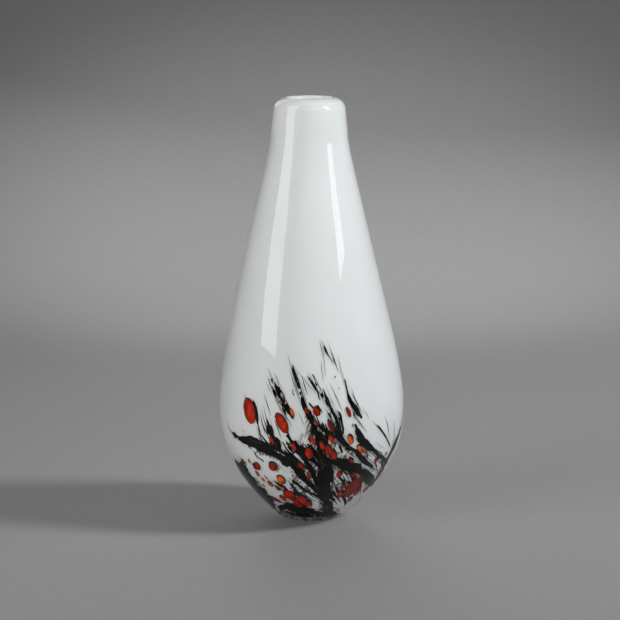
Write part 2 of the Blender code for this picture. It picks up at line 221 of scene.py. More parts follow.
# ====== noise
STIR_ACROSS, STIR_UP, STIR_SEED, STIR_LAST = 73856093, 19349663, 83492791, 1274126177


def lattice(i, j, seed):
    """A fixed value from -1 to 1 for each whole-numbered corner."""
    mixed = (i.astype(np.int64) * STIR_ACROSS) ^ (j.astype(np.int64) * STIR_UP)
    mixed = mixed ^ np.int64(seed * STIR_SEED + 12345)
    mixed = (mixed ^ (mixed >> 13)) * STIR_LAST
    return ((mixed >> 7) & 65535) / 32767.5 - 1


def ripple(x, y, seed):
    """Smooth noise from -1 to 1 over two arrays, with a grain of one unit."""
    i, j = np.floor(x), np.floor(y)
    fx, fy = x - i, y - j
    fx, fy = fx * fx * (3 - 2 * fx), fy * fy * (3 - 2 * fy)
    near = lattice(i, j, seed) * (1 - fx) + lattice(i + 1, j, seed) * fx
    far = lattice(i, j + 1, seed) * (1 - fx) + lattice(i + 1, j + 1, seed) * fx
    return near * (1 - fy) + far * fy


# ====== making objects
def placed(name, data):
    """A new object in the scene that holds this data."""
    item = bpy.data.objects.new(name, data)
    bpy.context.scene.collection.objects.link(item)
    return item


def add_object(name, points, faces, materials, marks=None, slots=None):
    """A smooth shaded object from arrays, riding on the root body."""
    mesh = bpy.data.meshes.new(name)
    mesh.from_pydata([tuple(p) for p in points], [], [tuple(f) for f in faces])
    for material in materials:
        mesh.materials.append(material)
    if slots is not None:
        mesh.polygons.foreach_set("material_index", slots)
    for key, values in (marks or {}).items():
        values = np.asarray(values, np.float32)
        kind, field = ("FLOAT_VECTOR", "vector") if values.ndim == 2 else ("FLOAT", "value")
        mesh.attributes.new(key, kind, "POINT").data.foreach_set(field, values.ravel())
    mesh.validate()
    mesh.shade_smooth()
    item = placed(name, mesh)
    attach(item, "root")
    return item


def band(first, second, count):
    """Faces between two rings of count points whose numbers start at first and second."""
    k = np.arange(count)
    following = (k + 1) % count
    return np.stack([first + k, second + k, second + following, first + following], axis=1)


def fan(centre, start, count, turned=False):
    """Triangles from a centre to a ring of count points whose numbers start at start."""
    k = np.arange(count)
    ends = [start + k, start + (k + 1) % count]
    return np.stack([np.full(count, centre), *(ends[::-1] if turned else ends)], axis=1).tolist()


def turned_shape(profile):
    """Points and faces of a turned shape from (radius, level) points that start and end on the axis."""
    profile = np.array(profile, float)
    inner = profile[1:-1]
    angle = np.arange(AROUND) * 2 * math.pi / AROUND
    radius, level = inner[:, :1], inner[:, 1:]
    shift = smooth_value(SWAY, inner[:, 1])[:, None]
    rings = [radius * np.sin(angle) + shift, -radius * np.cos(angle), level + 0 * angle]
    rings = np.stack(rings, axis=-1).reshape(-1, 3)
    poles = np.array([[0, 0, profile[0, 1]], [0, 0, profile[-1, 1]]])
    faces = []
    for row in range(len(inner) - 1):
        faces += band(row * AROUND, (row + 1) * AROUND, AROUND)[:, (0, 3, 2, 1)].tolist()
    faces += fan(len(rings), 0, AROUND, turned=True)
    faces += fan(len(rings) + 1, (len(inner) - 1) * AROUND, AROUND)
    return np.concatenate([rings, poles]), faces


def even_steps(first, last, step):
    return np.linspace(first, last, max(2, int(round(abs(last - first) / step)) + 1))


def wall_heights():
    """Heights of the rings up the wall, closest together at the foot."""
    ends = (FLOOR_START, 0.030, 0.150, 0.280, RIM_HEIGHT)
    steps = (0.0007, 0.0012, 0.0020, 0.0009)
    parts = [even_steps(*span)[1:] for span in zip(ends, ends[1:], steps)]
    return np.concatenate([ends[:1], *parts])


def bend(start, corner, end, count):
    """Points of a quadratic curve from start to end that leaves towards corner."""
    t = np.linspace(0, 1, count)[:, None]
    start, corner, end = (np.array(p, float) for p in (start, corner, end))
    return ((1 - t) ** 2 * start + 2 * t * (1 - t) * corner + t**2 * end).tolist()


def lip_points(turns, depth):
    """(radius, level) points of the turned-in lip, this far round it and this deep under it."""
    turns = np.asarray(turns, float)
    rise = LIP_RISE * np.sin(turns)
    radius = smooth_value(OUTLINE, RIM_HEIGHT) - LIP_REACH * (1 - np.cos(turns)) - LIP_LEAN * rise
    up = LIP_RISE * np.cos(turns)
    along = np.stack([-LIP_REACH * np.sin(turns) - LIP_LEAN * LIP_RISE * np.cos(turns), up])
    along = along / np.hypot(along[0], along[1])
    radius, level = radius - depth * along[1], RIM_HEIGHT + rise + depth * along[0]
    return list(zip(radius.tolist(), level.tolist()))


LIP_TURNS = np.linspace(0, 1, 18)[1:] * LIP_END


def rounded_end(outer_depth, inner_depth, count=13):
    """The round end of a layer at the mouth, between two depths under the lip's outside."""
    outer, inner = (np.array(lip_points([LIP_END], d)[0]) for d in (outer_depth, inner_depth))
    middle = (outer + inner) / 2
    reach = outer - middle
    beyond = np.array([-reach[1], reach[0]])
    angles = np.linspace(0, math.pi, count + 2)[1:-1]
    return [tuple(middle + reach * math.cos(a) + beyond * math.sin(a)) for a in angles]


def eased(value, first, last):
    share = np.clip((value - first) / (last - first), 0, 1)
    return share * share * (3 - 2 * share)


def floor_and_wall(depth_at, lip_change=0.0):
    """From the axis along the floor, up the wall and round the lip, this deep under the outline."""
    heights = wall_heights()
    radius, level = below_outline(heights, depth_at(heights))
    edge = (radius[0], level[0])
    steep = (radius[1] - radius[0], level[1] - level[0])
    floor = edge[1] - FLOOR_BELOW_WALL
    corner = (edge[0] - steep[0] * (edge[1] - floor) / steep[1], floor)
    flat_end = (corner[0] * 0.80, floor - FLOOR_DROP * 0.15)
    middle = even_steps(0.0, flat_end[0], 0.0011)[:-1]
    domed = [(r, floor - FLOOR_DROP + FLOOR_DROP * 0.85 * (r / flat_end[0]) ** 2) for r in middle]
    wall = list(zip(radius.tolist(), level.tolist()))
    change = lip_change * eased(LIP_TURNS, LAP_START, LAP_END)
    lip = lip_points(LIP_TURNS, depth_at(np.array(RIM_HEIGHT)) + change)
    return domed + bend(flat_end, corner, edge, 9)[:-1] + wall + lip


def opal_inner_depth(heights):
    return casing_wall(heights) + OPAL_WALL + OPAL_FLOOR_EXTRA * np.maximum(0.0, 1 - heights / HEEL_TOP)


def make_opal(in_glass, in_air):
    """The white bubble: its outside lies in the clear glass, its inside in the air."""
    outside = floor_and_wall(casing_wall, LIP_CLEAR - CASING_WALL)
    inside = floor_and_wall(opal_inner_depth, -LIP_CLEAR)[::-1]
    profile = outside + rounded_end(LIP_CLEAR, CASING_WALL + OPAL_WALL - LIP_CLEAR) + inside
    points, faces = turned_shape(profile)
    covered = sum(1 for turn in LIP_TURNS if turn > (LAP_START + LAP_END) / 2)
    first_in_air = len(profile) - len(inside) + covered - 1
    rows = np.array([min(f) // AROUND for f in faces])
    slots = (rows >= first_in_air).astype(np.int32)
    slots[-AROUND:] = 1  # the middle of the inside floor
    slots[-2 * AROUND : -AROUND] = 0  # the middle of the outside floor
    across = points[:, 0] - smooth_value(SWAY, points[:, 2])
    degrees = np.degrees(np.arctan2(across, -points[:, 1]))
    marks = {"stain": stain_at(degrees, points[:, 2] * 1000), "drawn": drawn_out(points)}
    opal = add_object("opal_bubble", points, faces, [in_glass, in_air], marks, slots)
    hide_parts("opal_body")


def make_casing(material):
    """The clear gather: ground hollow, foot, outside, lip, and an inner face sunk in the opal."""
    hollow_radii = even_steps(0.0, HOLLOW_RADIUS, 0.0010)
    hollow = [(r, HOLLOW_DEPTH * (1 - (r / HOLLOW_RADIUS) ** 2)) for r in hollow_radii]
    ring = [(r, 0.0) for r in even_steps(HOLLOW_RADIUS, FOOT_RADIUS, 0.0013)[1:]]
    low = even_steps(0.002, FLOOR_START, 0.0005)[:-1]
    heights = np.concatenate([low, wall_heights()])
    wall = list(zip(smooth_value(OUTLINE, heights).tolist(), heights.tolist()))
    outside = wall + lip_points(LIP_TURNS, 0.0)
    sunk = floor_and_wall(lambda h: casing_wall(h) + OPAL_WALL * 0.5, OPAL_WALL * 0.5)[::-1]
    end = rounded_end(0.0, CASING_WALL + OPAL_WALL, 21)
    points, faces = turned_shape(hollow + ring + list(FOOT_EDGE) + outside + end + sunk)
    casing = add_object("clear_gather", points, faces, [material])
    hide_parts("clear_casing")


# ====== black glass
CELL = 0.31  # grid of the black pieces, in mm
LOWEST_BLACK = 2.6  # height in mm that no black piece goes under
THIN_EDGE = 0.9  # a flake reaches its full thickness this far from its edge, in mm
BLACK_THICKNESS = 0.00042
BLACK_LIFT = 0.00036  # from the opal's outside to the middle of a black piece


def route_line(route, step=0.8):
    """Degrees, heights and widths on a smooth line through a route, about step mm apart."""
    route = np.array(route, float)
    places = np.arange(len(route))
    scale = mm_per_degree(route[:, 1].mean())
    length = np.hypot(np.diff(route[:, 0]) * scale, np.diff(route[:, 1])).sum()
    at = np.linspace(0, len(route) - 1, max(4, int(length / step)))
    return [smooth_value(list(zip(places, route[:, k])), at) for k in range(3)]


def from_line(x, y, line, scale):
    """For points in mm: distance to the line, its width there, how far along and aside, its length."""
    px, py, width = line[0] * scale, line[1], line[2]
    best = np.full(x.shape, 1e9)
    found = [np.zeros(x.shape) for _ in range(3)]
    start = 0.0
    for k in range(len(px) - 1):
        dx, dy = px[k + 1] - px[k], py[k + 1] - py[k]
        run = math.hypot(dx, dy)
        t = np.clip(((x - px[k]) * dx + (y - py[k]) * dy) / run**2, 0, 1)
        away = np.hypot(x - px[k] - t * dx, y - py[k] - t * dy)
        side = ((x - px[k]) * dy - (y - py[k]) * dx) / run
        nearer = away < best
        best = np.where(nearer, away, best)
        values = (width[k] + t * (width[k + 1] - width[k]), start + t * run, side)
        for store, value in zip(found, values):
            store[nearer] = value[nearer]
        start += run
    return best, *found, start


def streak_field(x, y, line, scale, ragged, seed):
    """How far inside the ragged edge of a streak each point is, in mm."""
    away, width, along, side, total = from_line(x, y, line, scale)
    wobble = 0.20 * width * ripple(along / 5.0, side / 40.0 + 7, seed)
    torn = ripple(along / 7.5, side / 1.05, seed + 1) * 0.85
    torn = torn + ripple(along / 2.2, side / 0.7, seed + 2) * 0.30
    taper = np.clip(np.minimum(along, total - along) / 5.0, 0.35, 1.0)
    return width / 2 * taper - away + wobble + ragged * torn * (0.55 + 0.10 * np.minimum(width, 9))


def corners(grid):
    """What a grid holds at the four corners of each of its cells."""
    return np.stack([grid[:-1, :-1], grid[:-1, 1:], grid[1:, 1:], grid[1:, :-1]], axis=-1)


def film(field, x, y):
    """Cells inside the field, used points, rim points, and x and y with the rim on the field's edge."""
    inside = (field[:-1, :-1] + field[1:, :-1] + field[1:, 1:] + field[:-1, 1:]) > 0
    around = corners(np.pad(inside, 1))
    used = around.any(axis=-1)
    rim = used & ~around.all(axis=-1)
    gy, gx = np.gradient(field, CELL)
    steep = np.maximum(gx**2 + gy**2, 0.05)
    move = np.clip(field / steep, -0.8 * CELL, 0.8 * CELL)
    x = np.where(rim, x - np.clip(move * gx, -0.45 * CELL, 0.45 * CELL), x)
    y = np.where(rim, y - np.clip(move * gy, -0.45 * CELL, 0.45 * CELL), y)
    return inside, used, rim, x, y


def numbered(used):
    """Running numbers for the used points of a grid."""
    numbers = -np.ones(used.shape, int)
    numbers[used] = np.arange(used.sum())
    return numbers


def make_streak(name, ragged, route, material, seed):
    """One piece of black glass: a torn, lens-thin flake that follows the opal."""
    line = route_line(route)
    scale = mm_per_degree(np.mean(line[1]))
    reach = line[2].max() / 2 + 3
    xs = np.arange(line[0].min() * scale - reach, line[0].max() * scale + reach, CELL)
    ys = np.arange(max(LOWEST_BLACK, line[1].min() - reach), line[1].max() + reach, CELL)
    x, y = np.meshgrid(xs, ys)
    field = streak_field(x, y, line, scale, ragged, seed)
    inside, used, rim, x, y = film(field, x, y)
    numbers = numbered(used)
    core = used & ~rim
    backs = numbers.copy()
    backs[core] = used.sum() + np.arange(core.sum())
    thick = BLACK_THICKNESS * np.sqrt(np.clip(field / THIN_EDGE, 0.02, 1))
    middle = casing_wall(y / 1000) - BLACK_LIFT
    front = glass_points(x[used] / scale, y[used], (middle - thick * ~rim)[used])
    back = glass_points(x[core] / scale, y[core], (middle + thick)[core])
    faces = corners(numbers)[inside].tolist() + corners(backs)[inside][:, ::-1].tolist()
    edge = np.clip(field / 1.2, 0, 1)
    marks = {"edge": np.concatenate([edge[used], edge[core]])}
    return add_object(name, np.concatenate([front, back]), faces, [material], marks)


# ------ torn films between the large pieces
# (degrees round, height in mm, reach in degrees, reach in mm, strength)
CROWDS = (
    (4, 62, 22, 26, 0.86), (-22, 62, 26, 16, 0.75), (40, 46, 30, 17, 0.66), (16, 22, 42, 15, 0.86),
    # the entry at -12 degrees and 4.5 mm lays a nearly solid black band along the foot: partly the
    # black glass the vase has there, partly painted shade for the dark line at the foot
    (-12, 4.5, 62, 3.4, 1.7), (-18, 24, 20, 14, 0.8), (-2, 98, 20, 17, 0.62), (22, 88, 12, 16, 0.5),
    (178, 58, 26, 28, 1), (222, 60, 26, 17, 0.75), (150, 62, 24, 26, 0.8), (120, 42, 28, 22, 0.8),
    (238, 28, 22, 16, 0.75), (186, 20, 40, 15, 0.8), (184, 100, 18, 18, 0.5), (92, 34, 20, 20, 0.6),
    (-80, 32, 12, 20, 0.4), (262, 42, 16, 22, 0.8),
)
MOST_CROWDED = 1.45
VEIL_SCALE = 1.13  # mm for each degree round the vase, in the zone that the films fill
VEIL_HEIGHTS = (2.9, 128)
VEIL_THICKNESS = 0.00020
FLOW_BEND = 45  # the threads turn most below this height in mm


def patch(degrees, height, spot):
    """The strength at a place of one soft patch, given as in CROWDS."""
    middle, level, reach, rise, strength = spot
    turned = (degrees - middle + 180) % 360 - 180
    return strength * np.exp(-((turned / reach) ** 2) - ((height - level) / rise) ** 2)


def crowding(degrees, height):
    """How densely coloured glass lies at a place, from 0 to MOST_CROWDED."""
    total = np.zeros(np.broadcast(degrees, height).shape)
    for spot in CROWDS:
        total = total + patch(degrees, height, spot)
    return np.minimum(total, MOST_CROWDED)


def flow(height):
    """How far the threads have run round the vase, in mm, on their way up to a height."""
    return 0.36 * height + FLOW_BEND * 1.15 * np.tanh(height / FLOW_BEND)


def drawn_out(points):
    """Positions turned back along the flow and shortened, so that noise on them lies in threads."""
    x, y, z = points.T
    turn = -flow(z * 1000) / 1000 / np.maximum(np.hypot(x, y), 0.045)
    across = x * np.cos(turn) - y * np.sin(turn)
    depth = x * np.sin(turn) + y * np.cos(turn)
    return np.stack([across, depth, z * 0.13], axis=-1)


def make_veil(name, first, last, material, seed):
    """Torn scraps and threads of black glass that fill the crowded places between two bearings."""
    xs = np.arange(first * VEIL_SCALE, last * VEIL_SCALE, CELL)
    x, y = np.meshgrid(xs, np.arange(*VEIL_HEIGHTS, CELL))
    across = x + flow(y) + 2.2 * ripple(x / 11, y / 13, seed) + 0.9 * ripple(x / 4.2, y / 5, seed + 1)
    cloud = ripple(across / 5.5, y / 12, seed + 2) * 0.55
    streaky = ripple(across / 1.9, y / 8, seed + 3) * 0.85
    streaky = streaky + ripple(across / 0.85, y / 4.5, seed + 4) * 0.5
    speckle = ripple(x / 1.5, y / 1.8, seed + 5) * 0.18
    dense = crowding(x / VEIL_SCALE, y)
    ends = np.clip(np.minimum(x - x.min(), x.max() - x) / 6, 0, 1)
    threshold = 1.36 - 1.22 * dense * ends
    field = np.where(dense > 0.10, (cloud + streaky + speckle - threshold) * 0.8, -1.0)
    inside, used, rim, x, y = film(field, x, y)
    middle = casing_wall(y / 1000) - BLACK_LIFT * 0.75
    front = glass_points(x[used] / VEIL_SCALE, y[used], (middle - 0.0001 * ~rim)[used])
    points, faces = thickened(front, corners(numbered(used))[inside])
    edge = np.clip(field / 0.5, 0, 1)[used]
    return add_object(name, points, faces, [material], {"edge": np.concatenate([edge, edge])})


def thickened(points, quads):
    """A sheet of quads with a back and with walls along its open edges."""
    count = len(points)
    inward = points.copy()
    inward[:, 2] = 0
    inward /= np.linalg.norm(inward, axis=1)[:, None]
    backs = points - inward * VEIL_THICKNESS
    faces = quads.tolist() + (quads[:, ::-1] + count).tolist()
    ways = np.concatenate([quads[:, [k, (k + 1) % 4]] for k in range(4)])
    keys = ways[:, 0].astype(np.int64) * count + ways[:, 1]
    back_keys = ways[:, 1].astype(np.int64) * count + ways[:, 0]
    start, end = ways[~np.isin(keys, back_keys)].T
    faces += np.stack([end, start, start + count, end + count], axis=1).tolist()
    return np.concatenate([points, backs]), faces


# ====== chips
RINGS, CORNERS = 7, 44  # of each face of a chip
CHIP_THICKNESS = 0.00040
CHIP_LIFT = 0.00062  # from the opal's outside to the middle of a chip


def chip_place(shape, across, up):
    """Degrees round and height of a point given in mm along a chip's own two axes."""
    degrees, height, _, _, lean = shape
    turn = math.radians(lean)
    shift = across * math.cos(turn) - up * math.sin(turn)
    level = height + up * math.cos(turn) + across * math.sin(turn)
    return degrees + shift / mm_per_degree(height), level


def joined(parts):
    """Several (points, faces) as one."""
    faces, offset = [], 0
    for points, some_faces in parts:
        faces += [[v + offset for v in face] for face in some_faces]
        offset += len(points)
    return np.concatenate([points for points, _ in parts]), faces


def make_chips(name, shapes, material, seed):
    """Many rounded drops as one object."""
    parts, edges, tones = [], [], []
    chance = random.Random(seed)
    for number, shape in enumerate(shapes):
        points, faces, edge = chip_arrays(shape, seed + 7 * number)
        parts.append((points, faces))
        edges.append(edge)
        tones.append(np.full(len(points), chance.random()))
    marks = {"edge": np.concatenate(edges), "tone": np.concatenate(tones)}
    return add_object(name, *joined(parts), [material], marks)


def chip_arrays(shape, seed):
    """A rounded drop of glass, a little uneven, that follows the opal."""
    degrees, height, width, length, _ = shape
    angle = np.linspace(0, 2 * math.pi, CORNERS, endpoint=False)
    wobble = 1 + 0.05 * ripple(np.cos(angle) * 1.6 + 9, np.sin(angle) * 1.6 + 9, seed)
    wobble += 0.03 * ripple(np.cos(angle) * 4 + 9, np.sin(angle) * 4 + 9, seed + 1)
    pointed = 1 - 0.22 * np.clip(np.sin(angle), 0, 1) ** 3
    points, edges, faces = [], [], []
    for side in (1, -1):
        for ring in range(RINGS):
            if side < 0 and ring == RINGS - 1:
                continue  # the back shares the front's rim
            share = math.sin(math.pi / 2 * (ring + 1) / RINGS)
            lift = math.sqrt(max(0.0, 1 - share**2.6))
            across = share * width / 2 * np.cos(angle) * wobble * pointed
            up = share * length / 2 * np.sin(angle) * wobble
            place, level = chip_place(shape, across, up)
            depth = casing_wall(level / 1000) - CHIP_LIFT - side * lift * CHIP_THICKNESS
            points.append(glass_points(place, level, depth))
            edges.append(np.full(CORNERS, 1 - share))
        centre = casing_wall(height / 1000) - CHIP_LIFT - side * CHIP_THICKNESS
        points.append(glass_points([degrees], [height], np.array([centre])))
        edges.append(np.ones(1))
    front_centre = RINGS * CORNERS
    back_start = front_centre + 1
    front = [ring * CORNERS for ring in range(RINGS)]
    back = [back_start + start for start in front[:-1]] + front[-1:]
    for a, b in zip(front, front[1:]):
        faces += band(a, b, CORNERS).tolist()
    for a, b in zip(back, back[1:]):
        faces += band(a, b, CORNERS)[:, ::-1].tolist()
    faces += fan(front_centre, 0, CORNERS)
    faces += fan(back_start + front[-1], back_start, CORNERS, turned=True)
    return np.concatenate(points), faces, np.concatenate(edges)


# ====== threads
THREAD_SIDES = 5
THREAD_THICKNESS = 0.00016
THREAD_LIFT = 0.00030  # from the opal's outside to a thread beside the black pieces
OVER_LIFT = 0.00118  # and to one that runs over them
# thickness and lift of the dark lines of painted shade beside the chips
RIM_THICKNESS, RIM_LIFT = 0.00025, 0.00095
LOWEST_THREAD, HIGHEST_THREAD = 5.0, 142.0


def thread_arrays(route, thickness, lift):
    """A pointed thread along a route of (degrees, height, width)."""
    degrees, height, width = route_line(route, 0.9)
    scale = mm_per_degree(height.mean())
    gx, gy = np.gradient(degrees * scale), np.gradient(height)
    run = np.hypot(gx, gy)
    points = []
    for k in range(THREAD_SIDES):
        turn = 2 * math.pi * k / THREAD_SIDES
        out = width / 2 * math.cos(turn)
        depth = casing_wall(height / 1000) - lift - thickness * np.minimum(1, width) * math.sin(turn)
        points.append(glass_points(degrees - out * gy / run / scale, height + out * gx / run, depth))
    points = np.stack(points, axis=1)
    starts = [row * THREAD_SIDES for row in range(len(degrees))]
    faces = []
    for a, b in zip(starts, starts[1:]):
        faces += band(a, b, THREAD_SIDES).tolist()
    ring = list(range(THREAD_SIDES))
    faces += [ring, [starts[-1] + k for k in ring[::-1]]]
    return points.reshape(-1, 3), faces


def make_threads(name, routes, material, thickness=THREAD_THICKNESS, lift=THREAD_LIFT):
    """Many threads as one object."""
    parts = [thread_arrays(route, thickness, lift) for route in routes]
    return add_object(name, *joined(parts), [material])


# fine threads that trail above the black pieces, each with degrees, height and width at three places
HIGH_THREADS = (
    (6.4, 143, 0.15, 7.2, 137, 0.45, 8.2, 130, 0.2), (8.2, 139, 0.15, 8.8, 128, 0.35, 9.2, 117, 0.15),
    (6.8, 128, 0.15, 7.0, 121, 0.4, 7.6, 113, 0.15), (13.5, 136, 0.15, 15.5, 128, 0.4, 18.2, 119, 0.15),
    (18.6, 131, 0.15, 19.6, 122, 0.35, 21.0, 112, 0.15),
    (-14, 121, 0.15, -11.5, 113, 0.5, -9, 104, 0.2), (-29, 116, 0.15, -25.5, 107, 0.6, -21.5, 98, 0.2),
    (-24, 118, 0.15, -20.5, 109, 0.5, -17, 101, 0.2), (-31, 103, 0.15, -28, 95, 0.7, -25.5, 88, 0.2),
    (1.5, 119, 0.15, 4.5, 111, 0.6, 8, 103, 0.2), (-3, 118, 0.15, 1.5, 112, 0.5, 3.5, 106, 0.2),
    (12, 112, 0.15, 15.5, 102, 0.6, 19, 92, 0.2), (26, 108, 0.15, 28.5, 98, 0.5, 33, 88, 0.2),
    (25, 92, 0.2, 30, 83, 0.8, 36, 74, 0.2), (40, 82, 0.15, 47, 74, 0.6, 55, 65, 0.2),
    (51, 84, 0.15, 55, 74, 0.6, 58, 64, 0.2), (62, 78, 0.15, 63, 70, 0.7, 66, 60, 0.3),
    (-47, 101, 0.15, -45, 98, 0.7, -42, 97, 0.2), (-33, 88, 0.2, -31, 79, 0.9, -27, 71, 0.3),
    (-66, 78, 0.15, -63, 71, 0.7, -58, 66, 0.2),
)


def thread_routes(seed, count, low, high):
    """Fine threads that run beside the black pieces, between two bearings."""
    chance = random.Random(seed)
    streaks = [s for _, *s in BLACK_STREAKS.values() if low <= s[len(s) // 2][0] <= high]
    weights = [len(s) * max(p[2] for p in s) for s in streaks]
    routes = []
    for _ in range(count):
        degrees, height, width = route_line(chance.choices(streaks, weights)[0])
        k = chance.randrange(1, len(degrees) - 1)
        scale = mm_per_degree(height[k])
        dx, dy = (degrees[k + 1] - degrees[k - 1]) * scale, height[k + 1] - height[k - 1]
        run = math.hypot(dx, dy) * (-1 if dy > 0 else 1)
        dx, dy = dx / run, dy / run
        side = chance.uniform(-1, 1) * (width[k] / 2 + chance.uniform(0.5, 5.0))
        length = chance.uniform(5, 17) * (0.6 + height[k] / 160)
        lean = chance.uniform(-0.25, 0.25)
        x0, y0 = degrees[k] * scale - dy * side, height[k] + dx * side
        thick = chance.choice((0.22, 0.28, 0.35, 0.5, 0.75))
        route = []
        for step, share in ((-0.5, 0.25), (-0.2, 0.8), (0.1, 1.0), (0.5, 0.2)):
            along = step * length
            curve = lean * along * abs(along) / length * 0.8
            up = max(LOWEST_THREAD, min(HIGHEST_THREAD, y0 + dy * along + dx * curve))
            route.append(((x0 + dx * along - dy * curve) / scale, up, thick * share))
        if all(abs(a[1] - b[1]) + abs(a[0] - b[0]) > 0.05 for a, b in zip(route, route[1:])):
            routes.append(route)
    return routes


def chip_shade_crescents(chips, seed):
    """Dark lines of black glass that hug the same side of each chip: painted shade along that side."""
    chance = random.Random(seed)
    routes = []
    for shape in chips:
        _, _, width, length, _ = shape
        if width < 3.4:
            continue
        first = math.radians(chance.uniform(-75, -20))
        last = math.radians(chance.uniform(85, 160))
        route = []
        for share, thick in ((0, 0.3), (0.25, 0.9), (0.5, 1.5), (0.75, 1.2), (1, 0.4)):
            angle = first + share * (last - first)
            across = (width / 2 + 0.15) * math.cos(angle)
            up = (length / 2 + 0.35) * math.sin(angle)
            route.append((*chip_place(shape, across, up), thick * chance.uniform(0.7, 1.1)))
        routes.append(route)
    return routes


# ====== smoke on the opal
# with the same five numbers as in CROWDS
SMOKE = (
    (-9, 35, 10, 9, 1.2), (-15, 19, 10, 6, 1.1), (9, 70, 8, 9, 1.1), (3, 52, 7, 8, 1),
    (-6, 75, 6, 8, 0.8), (-20, 103, 5, 9, 0.8), (24, 33, 9, 8, 0.8), (16, 56, 9, 8, 1),
    # the entry at 4 degrees and 7 mm darkens the opal along the foot: partly smoke in the opal, partly
    # painted shade for the dark line at the foot
    (-40, 60, 9, 7, 0.8), (36, 60, 6, 6, 0.8), (-40, 8, 12, 6, 0.9), (4, 7, 34, 5, 1),
    (180, 36, 9, 10, 1), (214, 62, 9, 9, 0.8), (150, 50, 9, 9, 0.9), (236, 14, 20, 8, 0.8),
    (120, 30, 9, 9, 0.9), (188, 90, 6, 8, 0.7),
)
SMOKE_TOP = 140


def stain_at(degrees, height):
    """How smoky the opal is near the black pieces, from 0 to about 1."""
    total = np.zeros(len(degrees))
    for _, *route in BLACK_STREAKS.values():
        line = route_line(route, 3.0)
        scale = mm_per_degree(np.mean(line[1]))
        middle = line[0].mean()
        turned = (degrees - middle + 180) % 360 - 180 + middle
        near = (np.abs(turned - middle) < 60) & (height < 160)
        away, width, _, _, _ = from_line(turned[near] * scale, height[near], line, scale)
        soft = 1.0 + 0.4 * width
        total[near] = np.maximum(total[near], np.exp(-((np.maximum(0, away - width / 2) / soft) ** 2)))
    dense = crowding(degrees, height)
    smoke = np.zeros(len(degrees))
    for spot in SMOKE:
        smoke = np.maximum(smoke, patch(degrees, height, spot))
    spread = (0.50 * np.minimum(dense, 1) + 0.72 * smoke) * (height < SMOKE_TOP)
    return np.clip(0.55 * total + spread, 0, 1.02)


# ====== materials
class Look:
    """A few short calls for building a node tree."""

    def __init__(self, name, **values):
        self.material = bpy.data.materials.new(name)
        self.material.use_nodes = True
        self.tree = self.material.node_tree
        self.bsdf = self.tree.nodes["Principled BSDF"]
        self.output = self.tree.nodes["Material Output"]
        for key, value in values.items():
            self.bsdf.inputs[key.replace("_", " ")].default_value = value

    def node(self, kind, **settings):
        made = self.tree.nodes.new(kind)
        for key, value in settings.items():
            if key in made.inputs:
                made.inputs[key].default_value = value
            else:
                setattr(made, key, value)
        return made

    def link(self, a, b):
        self.tree.links.new(a, b)

    def feed(self, socket, value):
        """Give a socket a link or a fixed value."""
        if isinstance(value, bpy.types.NodeSocket):
            self.link(value, socket)
        else:
            socket.default_value = value

    def coloured(self, source):
        """The finished material, its colour taken from source."""
        self.link(source, self.bsdf.inputs["Base Color"])
        return self.material

    def place(self, scale=(1, 1, 1), turn=(0, 0, 0)):
        """Object coordinates, stretched and turned."""
        coordinates = self.node("ShaderNodeTexCoord")
        mapping = self.node("ShaderNodeMapping", Scale=scale, Rotation=turn)
        self.link(coordinates.outputs["Object"], mapping.inputs["Vector"])
        return mapping.outputs["Vector"]

    def noise(self, vector, scale, detail=4.0, roughness=0.55):
        made = self.node("ShaderNodeTexNoise", Scale=scale, Detail=detail, Roughness=roughness)
        self.link(vector, made.inputs["Vector"])
        return made.outputs["Fac"]

    def ramp(self, source, stops):
        made = self.node("ShaderNodeValToRGB")
        elements = made.color_ramp.elements
        for index, (place, colour) in enumerate(stops):
            element = elements[index] if index < 2 else elements.new(place)
            element.position = place
            element.color = (*colour, 1.0)
        self.link(source, made.inputs["Fac"])
        return made.outputs["Color"]

    def mix(self, factor, a, b, kind="MIX"):
        made = self.node("ShaderNodeMix", data_type="RGBA", blend_type=kind)
        for index, value in ((0, factor), (6, a), (7, b)):
            self.feed(made.inputs[index], (*value, 1.0) if isinstance(value, tuple) else value)
        return made.outputs[2]

    def math(self, kind, a, b):
        made = self.node("ShaderNodeMath", operation=kind)
        self.feed(made.inputs[0], a)
        self.feed(made.inputs[1], b)
        return made.outputs[0]

    def attribute(self, name, output="Fac"):
        return self.node("ShaderNodeAttribute", attribute_name=name).outputs[output]

    def bump(self, height, strength, distance):
        made = self.node("ShaderNodeBump", Strength=strength, Distance=distance)
        self.link(height, made.inputs["Height"])
        self.link(made.outputs["Normal"], self.bsdf.inputs["Normal"])


def clear_glass():
    """The casing: clear to the eye, and open to light on its way to what lies under it."""
    look = Look(
        "clear_glass_polished", Roughness=0.0, IOR=1.5, Transmission_Weight=1.0,
        Specular_Tint=(0.70, 0.70, 0.70, 1.0),
    )
    slow = look.noise(look.place((1, 1, 0.45)), 22.0, detail=1.0)
    look.bump(slow, 0.22, 0.004)
    cords = look.noise(look.place(), 14.0, detail=2.0)
    tint = look.ramp(cords, ((0.3, (0.975, 0.992, 0.982)), (0.7, (0.992, 0.998, 0.994))))
    path = look.node("ShaderNodeLightPath")
    open_way = look.math("MAXIMUM", path.outputs["Is Shadow Ray"], path.outputs["Is Diffuse Ray"])
    see_through = look.node("ShaderNodeBsdfTransparent", Color=(0.97, 0.98, 0.975, 1.0))
    chosen = look.node("ShaderNodeMixShader")
    for index, source in enumerate((open_way, look.bsdf.outputs[0], see_through.outputs[0])):
        look.link(source, chosen.inputs[index])
    look.link(chosen.outputs[0], look.output.inputs["Surface"])
    return look.coloured(tint)


